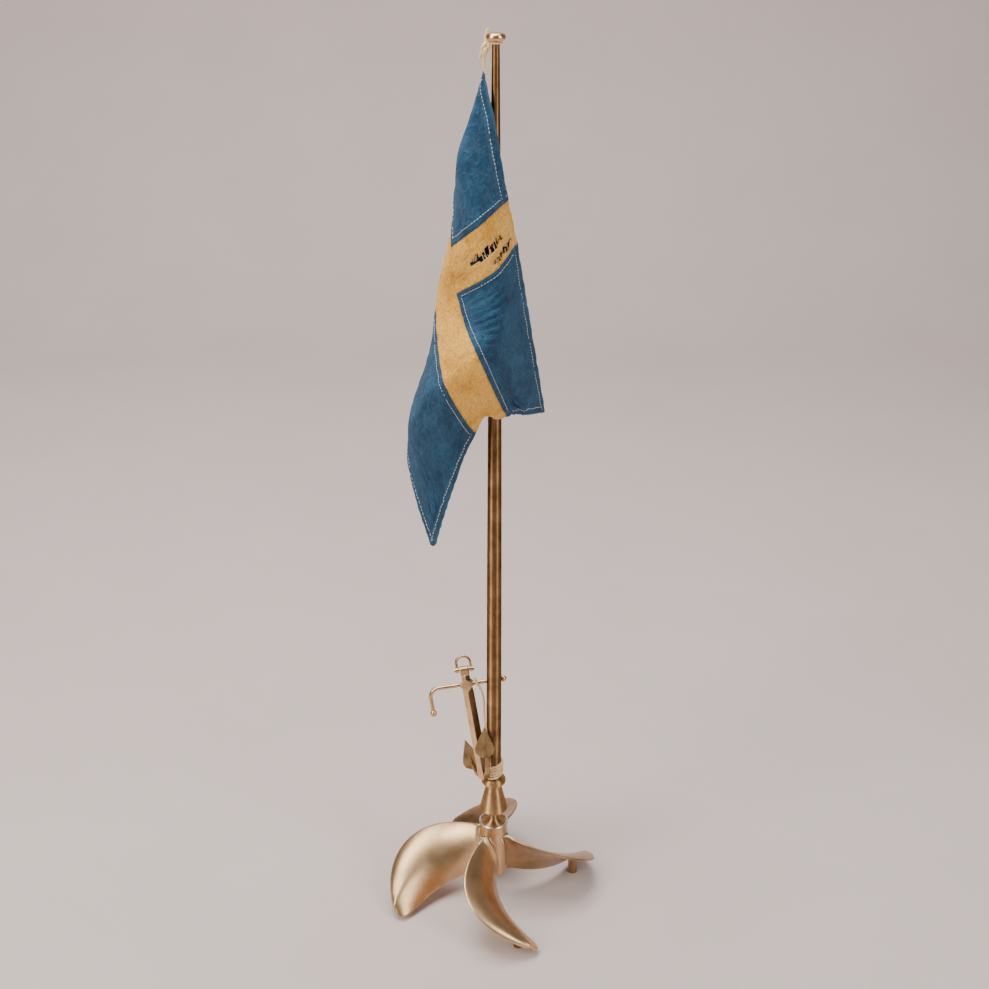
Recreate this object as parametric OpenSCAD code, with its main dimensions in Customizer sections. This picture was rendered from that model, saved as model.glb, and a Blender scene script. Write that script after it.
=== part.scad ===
// Desk flag stand: a four-bladed propeller foot, a turned coupling, a tapered pole with a truck,
// a limp cross flag tied under the truck, and a small stocked anchor lashed to the pole.
// Millimetres, +Z up, pole axis through the origin, feet on z = 0.

/* [Propeller] */
// Radius of the boss
hub_r = 10.75; // [9:0.25:12]
// Height of the boss's lower face
hub_bottom_z = 20; // [16:1:22]
// Height of the boss's upper face
hub_top_z = 64.5; // [62:0.5:67]
// Radius of the circle through the blade tips
blade_tip_r = 83; // [78:1:88]
// Compass turn of the whole propeller
blade_turn = -15; // [-45:1:45]
// Blade thickness at the root
blade_root_t = 4; // [3:0.5:5]
// Blade thickness at the tip
blade_tip_t = 1.8; // [1.4:0.1:2.5]
// Radius of a foot peg
peg_r = 3.6; // [2.5:0.1:4]
// Radius of the circle that the foot pegs stand on
peg_circle_r = 67; // [64:1:70]

/* [Coupling and pole] */
// Height of the pole's shoulder, on top of the collar
pole_foot_z = 106; // [105:1:107]
// Height of the pole's upper end
pole_top_z = 641; // [636:1:645]
// Radius of the pole at its foot
pole_foot_r = 5.5; // [5.2:0.1:5.8]
// Radius of the pole at its upper end
pole_top_r = 2.4; // [2.3:0.1:3]
// Radius of the collar
collar_r = 9.1; // [8.5:0.1:10]
// Radius of the truck
truck_r = 6.2; // [5:0.1:8]
// Thickness of the truck
truck_h = 5; // [4:0.5:7]

/* [Anchor] */
// Height of the stock's hole above the crown
stock_h = 76.5; // [74:0.5:78]
// Height of the shackle pin above the crown
pin_h = 88; // [87:0.5:90]
// Side of the square shank at the crown
shank_w = 6.2; // [5.5:0.1:6.6]
// Radius of the stock rod
stock_r = 1.5; // [1.3:0.05:1.6]
// Radius of the shackle pin
pin_r = 1; // [0.9:0.05:1.1]

/* [Flag] */
// Thickness of the cloth solids
cloth_t = 1; // [0.6:0.1:1.2]

/* [Twine] */
// Radius of the twine
twine_r = 0.9; // [0.7:0.05:1]

/* [Hidden] */
$fn = 64;

brass = "#a07850";
old_brass = "#8a6238";
steel = "#c8c4bc";
blue = "#3c698c";
ochre = "#d7aa69";
cotton = "#f0d7b4";

run_gap = 0.05;    // radial clearance of a running fit
cut = 1;           // how far a cutting tool runs past the face it cuts

// Propeller blades. u runs from root to tip, v across the blade from -0.5 (raised edge) to 0.5.
blade_root_r = hub_r - 0.6;
blade_at = [-3.5, 90, 180, 270];    // compass place of each blade
function chord(u) = 36.5 + 24 * u + 13 * u * u;
function taper(u) = sqrt(max(0, 1 - pow(u, 6.6)));
function pitch(u) = 77 - 46 * (1 - pow(1 - u, 1.4));
function rake(u) = 38.6 - 18 * u - 5.5 * pow(u, 4.5);
function skew(u) = blade_turn + 18.5 * u + 11.5 * u * u;
function blade_t(u, v) = (blade_root_t + (blade_tip_t - blade_root_t) * u) * (1 - 2.2 * v * v);
// A point of blade n; w is its place through the thickness, from -0.5 (below) to 0.5 (above)
function blade_point(n, u, v, w) = let(
    r = blade_root_r + (blade_tip_r - blade_root_r) * u,
    c = chord(u),
    along_c = v * c * taper(u) + 0.19 * c * (1 - taper(u)),
    across = 0.072 * c * taper(u) * (1 - 4 * v * v) + w * blade_t(u, v),
    turn = along_c * cos(pitch(u)) + across * sin(pitch(u)),
    a = skew(u) + blade_at[n] + turn / r * 180 / PI
) [r * sin(a), -r * cos(a), rake(u) - along_c * sin(pitch(u)) + across * cos(pitch(u))];
blade_rows = 15;
blade_cols = 8;
function row_u(i) = 1 - pow(1 - i / blade_rows, 1.6) - (i == blade_rows ? 0.001 : 0);

// Foot pegs: where each stands, and the blade's height and slope over it
peg_u = (peg_circle_r - blade_root_r) / (blade_tip_r - blade_root_r);
peg_v = 0.28;
function peg_top(n) = blade_point(n, peg_u, peg_v, 0);
function peg_normal(n) = let(
    p = peg_top(n),
    a = blade_point(n, peg_u + 0.02, peg_v, 0) - p,
    b = blade_point(n, peg_u, peg_v + 0.04, 0) - p,
    c = cross(a, b)
) c[2] > 0 ? c : -c;

// Coupling profile heights
flare_z = hub_top_z + 1;
neck_r = 3.3;
neck_z = 70.5;
bulb_z = 76;
cone_top_z = pole_foot_z - 5;
cone_top_r = 6.1;
socket_r = 4;
socket_z = 85;
stud_r = 2;
stud_top_z = 81;

// Anchor frame: origin at the crown, shank along its own z, stock along its own x
crown_at = [-7, -6, 108];
anchor_tilt = [-11, -10, 0];
arm_ends = [[6, -9, 32], [-8, 5.8, 18]];    // where each arm meets its fluke: near, far
fluke_lean = [10, -8];
boss_half = 4.6;
lug_x = 4.3;
bow_r = 5.2;
ball_gap = 0.35;
stock_bend_r = 7;
stock_left = -21.5;
stock_drop = -19;
stock_right = 27.5;

// Flag net: rows run out from the hoist at 0, 40, 80, 110, 175 and 240 mm,
// columns run down from the top edge at 0, 30, 60, 90, 135 and 180 mm.
FLAG_NET = [
    [[-6, -3, 625], [-8, 7, 597], [0, 16, 572], [5, 18, 543], [12, 22, 500], [17, 22, 457]],
    [[1, -8, 587], [-22, -20, 577], [-21, 9, 562], [-16, 30, 541], [-10, 40, 500], [-4, 42, 457]],
    [[8, -10, 547], [-10, -34, 535], [-28, -18, 517], [-35, 8, 500], [-34, 36, 468], [-24, 46, 428]],
    [[14, -8, 518], [0, -30, 502], [-25, -14, 484], [-39, 4, 468], [-40, 34, 436], [-30, 44, 404]],
    [[24, -2, 459], [8, -30, 457], [-9, -48, 455], [-33, -38, 434], [-56, -14, 401], [-60, 14, 369]],
    [[34, 18, 394], [22, -2, 400], [8, -16, 404], [-14, -12, 388], [-30, -12, 345], [-43, -4, 300]]
];
function spline4(a, b, c, d, t) = 0.5 * (2 * b + (c - a) * t + (2 * a - 5 * b + 4 * c - d) * t * t
    + (3 * b - a - 3 * c + d) * t * t * t);
function spline(P, u) = let(m = len(P) - 1, i = min(floor(u), m - 1))
    spline4(P[max(0, i - 1)], P[i], P[i + 1], P[min(m, i + 2)], u - i);
function flag_point(u, v) = spline([for (row = FLAG_NET) spline(row, v)], u);
net_max = len(FLAG_NET) - 1;
function flag_normal(u, v) = let(
    h = 0.02,
    du = flag_point(min(u + h, net_max), v) - flag_point(max(u - h, 0), v),
    dv = flag_point(u, min(v + h, net_max)) - flag_point(u, max(v - h, 0)),
    n = cross(du, dv)
) n / norm(n);

// Twine strand from the shank's neck, in front of the stock, behind the near fluke, to the lashing
TWINE_ROUTE = [
    [-14.6, 6.6, 189], [-13, 6, 185], [-10.5, 5.4, 181], [-8.5, 4, 176], [-7.6, 2.4, 170],
    [-7.4, 0.6, 164], [-7, -1.4, 158], [-6.2, -3.4, 152], [-5.4, -4.6, 145], [-5, -5, 137],
    [-5, -5, 128], [-5.4, -4.7, 119.5]
];
lashing_z = [pole_foot_z, 119];
tie_z = 633;

// ---- Shared shapes ----

// A closed thin shell between two grids of points, [row][column]
module shell(upper, lower) {
    rows = len(upper);
    cols = len(upper[0]);
    half = rows * cols;
    points = [for (grid = [upper, lower]) for (row = grid) for (p = row) p];
    function id(side, i, j) = side * half + i * cols + j;
    function quad(a, b, c, d) = [[a, b, c], [a, c, d]];
    faces = [
        for (i = [0:rows - 2]) for (j = [0:cols - 2])
            for (f = quad(id(0, i, j), id(0, i, j + 1), id(0, i + 1, j + 1), id(0, i + 1, j))) f,
        for (i = [0:rows - 2]) for (j = [0:cols - 2])
            for (f = quad(id(1, i, j), id(1, i + 1, j), id(1, i + 1, j + 1), id(1, i, j + 1))) f,
        for (i = [0:rows - 2])
            for (f = quad(id(0, i, 0), id(0, i + 1, 0), id(1, i + 1, 0), id(1, i, 0))) f,
        for (i = [0:rows - 2])
            for (f = quad(id(0, i + 1, cols - 1), id(0, i, cols - 1), id(1, i, cols - 1),
                id(1, i + 1, cols - 1))) f,
        for (j = [0:cols - 2])
            for (f = quad(id(0, 0, j + 1), id(0, 0, j), id(1, 0, j), id(1, 0, j + 1))) f,
        for (j = [0:cols - 2])
            for (f = quad(id(0, rows - 1, j), id(0, rows - 1, j + 1), id(1, rows - 1, j + 1),
                id(1, rows - 1, j))) f
    ];
    polyhedron(points, faces, convexity = 8);
}

// A tube swept along a list of points
module tube(route, r, sides = 8) {
    n = len(route);
    function heading(i) = let(d = route[min(i + 1, n - 1)] - route[max(i - 1, 0)]) d / norm(d);
    function side_of(i) = let(c = cross(heading(i), [0, 1, 0])) c / norm(c);
    rings = [for (i = [0:n - 1]) for (k = [0:sides - 1])
        let(s = side_of(i), t = cross(heading(i), s), a = 360 * k / sides)
            route[i] + r * (cos(a) * s + sin(a) * t)];
    faces = [
        [for (k = [0:sides - 1]) k],
        [for (k = [sides - 1:-1:0]) (n - 1) * sides + k],
        for (i = [0:n - 2]) for (k = [0:sides - 1]) let(m = (k + 1) % sides)
            for (f = [[i * sides + k, (i + 1) * sides + k, (i + 1) * sides + m],
                [i * sides + k, (i + 1) * sides + m, i * sides + m]]) f
    ];
    polyhedron(rings, faces, convexity = 6);
}

module flag_panel(rows, cols, steps = 4) {
    function side(s) = [for (i = [0:(rows[1] - rows[0]) * steps])
        [for (j = [0:(cols[1] - cols[0]) * steps])
            let(u = rows[0] + i / steps, v = cols[0] + j / steps)
                flag_point(u, v) + s * cloth_t / 2 * flag_normal(u, v)]];
    shell(side(1), side(-1));
}

module place_anchor() {
    translate(crown_at) rotate(anchor_tilt) children();
}

// ---- Foot ----

module propeller_hub() {
    color(brass) difference() {
        rotate_extrude() polygon([
            [0, hub_bottom_z], [hub_r - 1.5, hub_bottom_z], [hub_r, hub_bottom_z + 1.5],
            [hub_r, hub_top_z], [0, hub_top_z]
        ]);
        translate([0, 0, hub_bottom_z - cut])
            cylinder(h = hub_top_z - hub_bottom_z + 2 * cut, r = stud_r + run_gap);
    }
}

module blade(n) {
    function side(w) = [for (i = [0:blade_rows]) [for (j = [0:blade_cols])
        blade_point(n, row_u(i), j / blade_cols - 0.5, w)]];
    color(brass) shell(side(-0.5), side(0.5));
}

module foot_peg(n) {
    p = peg_top(n);
    normal = peg_normal(n);
    lean = acos(normal[2] / norm(normal));
    heading = atan2(normal[1], normal[0]);
    color(old_brass) intersection() {
        translate([p[0], p[1], 0]) cylinder(h = 2 * p[2], r = peg_r);
        translate(p) rotate([0, lean, heading])
            translate([0, 0, -40]) cylinder(h = 40, r = 60);
    }
}

module hub_washer() {
    rim_r = hub_r + 0.3;
    color(steel) translate([0, 0, hub_top_z]) rotate_extrude() polygon([
        [stud_r + run_gap, 0], [rim_r - 0.4, 0], [rim_r, 0.6], [rim_r, 1.4], [rim_r - 0.5, 1.9],
        [rim_r - 1.2, 1.9], [rim_r - 1.4, 1], [stud_r + run_gap, 1]
    ]);
}

module tie_stud() {
    stud_bottom_z = hub_bottom_z - 6;
    color(steel) translate([0, 0, stud_bottom_z]) cylinder(h = stud_top_z - 0.5 - stud_bottom_z, r = stud_r);
}

module base_washer() {
    color(steel) translate([0, 0, hub_bottom_z - 1.2]) difference() {
        cylinder(h = 1.2, r = 7.5);
        translate([0, 0, -cut]) cylinder(h = 1.2 + 2 * cut, r = stud_r + run_gap);
    }
}

module base_nut() {
    nut_h = 3.2;
    across_flats = 7;
    color(steel) translate([0, 0, hub_bottom_z - 1.2 - nut_h]) difference() {
        cylinder(h = nut_h, r = across_flats / sqrt(3), $fn = 6);
        translate([0, 0, -cut]) cylinder(h = nut_h + 2 * cut, r = stud_r + run_gap);
    }
}

// ---- Coupling and pole ----

module coupling() {
    flare_r = 9.3;
    bulb_r = 10.5;
    // The belly is the bulb's rounded underside
    belly_r = neck_r + 2.4;
    belly = [for (a = [-90:15:0]) [belly_r + (bulb_r - belly_r) * cos(a), bulb_z + 2.6 + 2.6 * sin(a)]];
    color(brass) difference() {
        rotate_extrude() polygon(concat(
            [[0, flare_z], [flare_r, flare_z]],
            [for (a = [0:15:90]) [neck_r + (flare_r - neck_r) * (1 - sin(a)),
                neck_z - (neck_z - flare_z - 0.8) * cos(a)]],
            [[neck_r, bulb_z]],
            belly,
            [[cone_top_r, cone_top_z - 4], [cone_top_r, cone_top_z], [0, cone_top_z]]
        ));
        translate([0, 0, socket_z]) cylinder(h = cone_top_z - socket_z + cut, r = socket_r + run_gap);
        translate([0, 0, flare_z - cut]) cylinder(h = stud_top_z - flare_z + cut, r = stud_r + run_gap);
    }
}

module pole_collar() {
    color(brass) rotate_extrude() polygon([
        [socket_r + run_gap, cone_top_z], [collar_r - 1, cone_top_z], [collar_r, cone_top_z + 1],
        [collar_r, pole_foot_z - 1.6], [collar_r - 1.2, pole_foot_z], [socket_r + run_gap, pole_foot_z]
    ]);
}

module flag_pole() {
    steps = 12;
    straight_z = 123;
    color(old_brass) difference() {
        rotate_extrude() polygon(concat(
            [[0, socket_z + 0.5], [socket_r, socket_z + 0.5], [socket_r, pole_foot_z]],
            [[pole_foot_r, pole_foot_z]],
            [for (k = [0:steps]) let(t = k / steps)
                [pole_foot_r - (pole_foot_r - pole_top_r) * t * t,
                    straight_z + (pole_top_z - straight_z) * t]],
            [[0, pole_top_z]]
        ));
        translate([0, 0, pole_top_z - 12]) cylinder(h = 12 + cut, r = 1 + run_gap);
    }
}

module truck() {
    // A flattened button with a rounded rim
    rim = truck_h / 2;
    color(brass) difference() {
        translate([0, 0, pole_top_z]) rotate_extrude() polygon(concat(
            [[0, 0]],
            [for (a = [-90:15:90]) [truck_r - rim + rim * cos(a), rim + rim * sin(a)]],
            [[0, truck_h]]
        ));
        translate([0, 0, pole_top_z - cut]) cylinder(h = 3 + cut, r = 1 + run_gap);
    }
}

module truck_screw() {
    color(steel) translate([0, 0, pole_top_z - 11.5]) cylinder(h = 14, r = 1);
}

// ---- Flag ----

module head_tie_loop() {
    color(cotton) translate([0, 0, tie_z + 3]) rotate_extrude()
        translate([2.9 + twine_r, 0]) circle(r = twine_r, $fn = 24);
}

module head_tie_knot() {
    // The knot hangs beside the loop; two strands run down from it into the flag's corner
    color(cotton) {
        hull() {
            translate([-4.8, -1.4, tie_z + 3]) sphere(r = 2, $fn = 20);
            translate([-5.2, -2, tie_z]) sphere(r = 1.8, $fn = 20);
        }
        tube([[-5.2, -2, tie_z], [-5.6, -2.4, 630], [-5.8, -2.8, 626]], 1.1);
    }
}

// ---- Anchor ----

module anchor_shank() {
    lozenge_h = 10.4;
    head_w = 6.2;
    head_d = 5;
    neck_w = 4.8;
    color(brass) place_anchor() difference() {
        union() {
            rotate([0, 0, 45]) {
                translate([-shank_w / 2, -shank_w / 2, 1]) cube([shank_w, shank_w, stock_h - 1]);
                translate([-neck_w / 2, -neck_w / 2, stock_h - 1]) cube([neck_w, neck_w, pin_h - stock_h]);
            }
            translate([0, 0, stock_h]) rotate([90, 0, 0]) linear_extrude(height = 9.6, center = true)
                polygon([[0, lozenge_h / 2], [boss_half, 0], [0, -lozenge_h / 2], [-boss_half, 0]]);
            translate([0, 0, pin_h]) rotate([0, 90, 0]) cylinder(h = head_w, r = head_d / 2, center = true);
            translate([-head_w / 2, -head_d / 2, pin_h - 4]) cube([head_w, head_d, 4]);
        }
        translate([0, 0, stock_h]) rotate([0, 90, 0]) cylinder(h = 40, r = stock_r + run_gap, center = true);
        translate([0, 0, pin_h]) rotate([0, 90, 0]) cylinder(h = 40, r = pin_r + run_gap, center = true);
    }
}

// One arm curves out and up from the crown to the fluke
module arm(end) {
    bends = [[0, 0, 1.5], [end[0] * 0.6, end[1] * 0.6, end[2] * 0.22],
        [end[0] * 0.95, end[1] * 0.95, end[2] * 0.6], end];
    radii = [2.6, 1.9, 1.5, 0.9];
    for (i = [0:2]) hull() {
        translate(bends[i]) sphere(r = radii[i], $fn = 20);
        translate(bends[i + 1]) sphere(r = radii[i + 1], $fn = 20);
    }
}

module anchor_arms() {
    color(old_brass) place_anchor() for (end = arm_ends) arm(end);
}

module fluke(k) {
    color(old_brass) place_anchor() translate(arm_ends[k]) rotate([90, fluke_lean[k], 0])
        linear_extrude(height = 1.4, center = true)
            polygon([[0, 13], [5, 5], [7.2, -4], [3.5, -11], [-3.5, -11], [-7.2, -4], [-5, 5]]);
}

module anchor_shackle() {
    leg = 5.2;
    rod_r = 1.05;
    lug_l = 2 * (bow_r - lug_x) + 0.4;
    color(brass) place_anchor() translate([0, 0, pin_h]) difference() {
        union() {
            for (side = [-1, 1]) translate([side * bow_r, 0, 0]) {
                cylinder(h = leg, r = rod_r);
                rotate([0, 90, 0]) cylinder(h = lug_l, r = 1.9, center = true);
            }
            translate([0, 0, leg]) rotate([90, 0, 0]) rotate_extrude(angle = 180)
                translate([bow_r, 0]) circle(r = rod_r, $fn = 24);
        }
        rotate([0, 90, 0]) cylinder(h = 30, r = pin_r, center = true);
    }
}

module shackle_pin() {
    tip = 2 * bow_r - lug_x + 0.2;
    color(brass) place_anchor() translate([0, 0, pin_h]) {
        rotate([0, 90, 0]) cylinder(h = 2 * tip, r = pin_r, center = true);
        for (side = [-1, 1]) translate([side * (tip + 0.6), 0, 0]) rotate([0, 90, 0])
            cylinder(h = 1.2, r = 1.5, center = true);
    }
}

module anchor_stock() {
    color(old_brass) place_anchor() translate([0, 0, stock_h]) {
        translate([stock_left, 0, 0]) rotate([0, 90, 0]) cylinder(h = stock_right - stock_left, r = stock_r);
        translate([stock_left, 0, -stock_bend_r]) rotate([90, 0, 0]) rotate([0, 0, 90])
            rotate_extrude(angle = 90) translate([stock_bend_r, 0]) circle(r = stock_r, $fn = 32);
        translate([stock_left - stock_bend_r, 0, stock_drop]) {
            cylinder(h = -stock_bend_r - stock_drop, r = stock_r);
            sphere(r = 2.6);
        }
    }
}

module stock_ball() {
    ball_r = 2.4;
    color(brass) place_anchor() translate([stock_right, 0, stock_h]) difference() {
        sphere(r = ball_r);
        translate([-ball_r - cut, 0, 0]) rotate([0, 90, 0])
            cylinder(h = ball_r + cut + ball_gap, r = stock_r + run_gap);
    }
}

// ---- Twine on the anchor ----

module anchor_twine() {
    color(cotton) tube(TWINE_ROUTE, twine_r);
}

module pole_lashing() {
    lashing_h = lashing_z[1] - lashing_z[0];
    color(cotton) translate([0, 0, lashing_z[0]]) difference() {
        cylinder(h = lashing_h, r = pole_foot_r + 2 * twine_r);
        translate([0, 0, -cut]) cylinder(h = lashing_h + 2 * cut, r = pole_foot_r);
    }
}

propeller_hub();
for (n = [1:len(blade_at)]) {
    blade(n - 1);
    foot_peg(n - 1);
}
hub_washer();
tie_stud();
base_washer();
base_nut();
coupling();
pole_collar();
flag_pole();
truck();
truck_screw();
color(blue) flag_panel([0, 2], [0, 2]);  // canton_upper_hoist
color(blue) flag_panel([3, 5], [0, 2]);  // canton_upper_fly
color(blue) flag_panel([3, 5], [3, 5]);  // canton_lower_fly
color(blue) flag_panel([0, 2], [3, 5]);  // canton_lower_hoist
color(ochre) flag_panel([0, 5], [2, 3]);  // cross_bar
color(ochre) flag_panel([2, 3], [0, 2]);  // cross_arm_upper
color(ochre) flag_panel([2, 3], [3, 5]);  // cross_arm_lower
head_tie_loop();
head_tie_knot();
anchor_shank();
anchor_arms();
fluke(0);  // fluke_near
fluke(1);  // fluke_far
anchor_shackle();
shackle_pin();
anchor_stock();
stock_ball();
anchor_twine();
pole_lashing();
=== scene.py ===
"""Desk flag stand: the visual model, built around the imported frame.

Lengths are millimetres until MM turns them into Blender's metres. The camera and the lights are placed
in metres.
"""

import math
import random

import bmesh
import bpy
import numpy as np
from mathutils import Matrix, Vector, noise


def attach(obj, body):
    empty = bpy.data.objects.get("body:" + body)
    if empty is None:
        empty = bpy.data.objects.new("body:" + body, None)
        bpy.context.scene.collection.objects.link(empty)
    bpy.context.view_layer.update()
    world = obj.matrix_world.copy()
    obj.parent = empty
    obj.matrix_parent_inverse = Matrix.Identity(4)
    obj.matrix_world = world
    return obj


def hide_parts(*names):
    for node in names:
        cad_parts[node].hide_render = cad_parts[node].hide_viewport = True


MM = 0.001
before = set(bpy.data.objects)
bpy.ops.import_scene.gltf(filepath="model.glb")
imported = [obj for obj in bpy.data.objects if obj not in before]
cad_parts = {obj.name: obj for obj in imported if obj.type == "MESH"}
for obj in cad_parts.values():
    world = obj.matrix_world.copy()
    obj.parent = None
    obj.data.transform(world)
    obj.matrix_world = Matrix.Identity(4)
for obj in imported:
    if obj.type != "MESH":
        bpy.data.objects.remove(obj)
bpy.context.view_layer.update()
random.seed(7)

# ---------------------------------------------------------------- camera


CAMERA_AT = (0, -0.9165, 0.7477)
CAMERA_TILT_DEG = 66
CAMERA_ROLL_DEG = 0.17
LENS_MM = 52.78
SENSOR_MM = 36


def make_camera():
    data = bpy.data.cameras.new("camera")
    data.lens = LENS_MM
    data.sensor_width = SENSOR_MM
    camera = bpy.data.objects.new("camera", data)
    bpy.context.collection.objects.link(camera)
    tilt = Matrix.Rotation(math.radians(CAMERA_TILT_DEG), 4, "X")
    roll = Matrix.Rotation(math.radians(CAMERA_ROLL_DEG), 4, "Z")
    camera.matrix_world = Matrix.Translation(CAMERA_AT) @ tilt @ roll
    bpy.context.scene.camera = camera


make_camera()

# ---------------------------------------------------------------- mesh helpers


def mesh_object(name, points, faces):
    """A smooth-shaded mesh object from points in millimetres."""
    mesh = bpy.data.meshes.new(name)
    mesh.from_pydata([tuple(float(c) * MM for c in p) for p in points], [], faces)
    mesh.update()
    mesh.polygons.foreach_set("use_smooth", [True] * len(mesh.polygons))
    obj = bpy.data.objects.new(name, mesh)
    bpy.context.collection.objects.link(obj)
    return obj


def face_outwards(obj):
    """Turn every face of a closed mesh to look out of it."""
    work = bmesh.new()
    work.from_mesh(obj.data)
    bmesh.ops.recalc_face_normals(work, faces=work.faces)
    work.to_mesh(obj.data)
    work.free()


def finish_piece(obj, body, material, replaced=()):
    """Give a piece its material, its body and the CAD nodes that it stands for."""
    obj.data.materials.clear()
    obj.data.materials.append(material)
    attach(obj, body)
    if replaced:
        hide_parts(*replaced)
    return obj


CURVE_STEPS = 24


def resample(points, step):
    """The same route with points every step millimetres, on a smooth curve."""
    pts = np.array(points, float)
    ends = np.vstack([2 * pts[0] - pts[1], pts, 2 * pts[-1] - pts[-2]])
    fine = []
    for i in range(1, len(ends) - 2):
        a, b, c, d = ends[i - 1:i + 3]
        for t in np.linspace(0, 1, CURVE_STEPS, endpoint=False):
            fine.append(0.5 * (2 * b + (c - a) * t + (2 * a - 5 * b + 4 * c - d) * t * t
                               + (3 * b - a - 3 * c + d) * t ** 3))
    fine.append(pts[-1])
    fine = np.array(fine)
    along = np.concatenate([[0], np.cumsum(np.linalg.norm(np.diff(fine, axis=0), axis=1))])
    count = max(2, int(along[-1] / step) + 1)
    at = np.linspace(0, along[-1], count)
    return np.stack([np.interp(at, along, fine[:, k]) for k in range(3)], axis=1)


def frames_along(path):
    """Heading, side and up at each point of a path, carried along without twist."""
    heading = np.gradient(path, axis=0)
    heading /= np.linalg.norm(heading, axis=1)[:, None]
    side = np.cross(heading[0], (0.13, 0.31, 0.94))
    side /= np.linalg.norm(side)
    sides = []
    for h in heading:
        side = side - h * side.dot(h)
        side /= np.linalg.norm(side)
        sides.append(side.copy())
    sides = np.array(sides)
    return heading, sides, np.cross(heading, sides)


def tube_parts(path, radii, sides, offset):
    """Points and faces of one closed tube; radii is a number or one per point, offset the first index."""
    path = np.array(path, float)
    _, s, t = frames_along(path)
    radii = np.broadcast_to(radii, len(path))
    points, faces = [], []
    for k, p in enumerate(path):
        for m in range(sides):
            a = 2 * math.pi * m / sides
            points.append(p + radii[k] * (math.cos(a) * s[k] + math.sin(a) * t[k]))
    n = len(path)
    for k in range(n - 1):
        for m in range(sides):
            w = (m + 1) % sides
            faces.append([offset + k * sides + m, offset + k * sides + w,
                          offset + (k + 1) * sides + w, offset + (k + 1) * sides + m])
    faces.append([offset + m for m in reversed(range(sides))])
    faces.append([offset + (n - 1) * sides + m for m in range(sides)])
    return points, faces


def join_tubes(name, tubes, sides=6):
    """One mesh from many (path, radii) tubes."""
    points, faces = [], []
    for path, radii in tubes:
        p, f = tube_parts(path, radii, sides, len(points))
        points += p
        faces += f
    return mesh_object(name, points, faces)


TWINE_STEP = 0.45


def twine_tubes(path, radius, turn_mm=5.2, plies=3, hairs=0.5):
    """Plies laid around a path, with hairs loose fibres per millimetre standing out of them."""
    path = resample(path, TWINE_STEP)
    h, s, t = frames_along(path)
    tubes = []
    for ply in range(plies):
        a = 2 * math.pi * (np.arange(len(path)) * TWINE_STEP / turn_mm + ply / plies)
        centre = path + 0.54 * radius * (np.cos(a)[:, None] * s + np.sin(a)[:, None] * t)
        thick = 0.6 * radius * (1 + 0.08 * np.sin(np.arange(len(path)) * 0.37 + ply * 2))
        thick[0] *= 0.5
        thick[-1] *= 0.5
        tubes.append((centre, thick))
    for _ in range(int(len(path) * TWINE_STEP * hairs)):
        k = random.randrange(1, len(path) - 1)
        a = random.uniform(0, 2 * math.pi)
        out = math.cos(a) * s[k] + math.sin(a) * t[k]
        start = path[k] + out * radius * 0.8
        end = start + out * random.uniform(0.4, 1.3) + h[k] * random.uniform(-1.6, 1.6)
        bow = (start + end) / 2 + out * 0.25
        tubes.append((np.array([start, bow, end]), [0.055, 0.05, 0.03]))
    return tubes


# ---------------------------------------------------------------- materials


class Nodes:
    """A short way to write a node material."""

    def __init__(self, name):
        self.material = bpy.data.materials.new(name)
        self.material.use_nodes = True
        self.tree = self.material.node_tree
        self.shader = self.tree.nodes["Principled BSDF"]

    def add(self, kind, inputs=None, **settings):
        node = self.tree.nodes.new(kind)
        for key, value in settings.items():
            setattr(node, key, value)
        for key, value in (inputs or {}).items():
            self.put(node.inputs[key], value)
        return node

    def put(self, socket, value):
        if isinstance(value, bpy.types.NodeSocket):
            self.tree.links.new(value, socket)
        else:
            socket.default_value = value

    def shade(self, **values):
        for key, value in values.items():
            self.put(self.shader.inputs[key.replace("_", " ")], value)

    def place(self, scale=(1, 1, 1)):
        """Object-space coordinates in millimetres, stretched by scale."""
        where = self.add("ShaderNodeTexCoord").outputs["Object"]
        return self.add("ShaderNodeVectorMath", {0: where, 1: [1000 * s for s in scale]},
                        operation="MULTIPLY").outputs[0]

    def noise(self, where, scale, detail=4, rough=0.55):
        return self.add("ShaderNodeTexNoise", {"Vector": where, "Scale": scale, "Detail": detail,
                                               "Roughness": rough}).outputs[0]

    def ramp(self, factor, stops):
        node = self.add("ShaderNodeValToRGB", {"Fac": factor})
        band = node.color_ramp
        while len(band.elements) < len(stops):
            band.elements.new(0.5)
        for element, (at, colour) in zip(band.elements, stops):
            element.position = at
            element.color = (*colour, 1)
        return node.outputs[0]

    def mix(self, factor, a, b, mode="MIX"):
        node = self.add("ShaderNodeMix", data_type="RGBA", blend_type=mode)
        self.put(node.inputs[0], factor)
        for socket, value in ((node.inputs[6], a), (node.inputs[7], b)):
            self.put(socket, value if isinstance(value, bpy.types.NodeSocket) else (*value, 1))
        return node.outputs[2]

    def math(self, operation, a, b=0.0):
        node = self.add("ShaderNodeMath", operation=operation)
        self.put(node.inputs[0], a)
        self.put(node.inputs[1], b)
        return node.outputs[0]

    def span(self, value, low, high):
        """value, 0 to 1, spread over low to high."""
        return self.add("ShaderNodeMapRange", {"Value": value, "To Min": low, "To Max": high}).outputs[0]

    def bump(self, height, strength, distance):
        return self.add("ShaderNodeBump", {"Height": height, "Strength": strength,
                                           "Distance": distance}).outputs[0]


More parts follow.
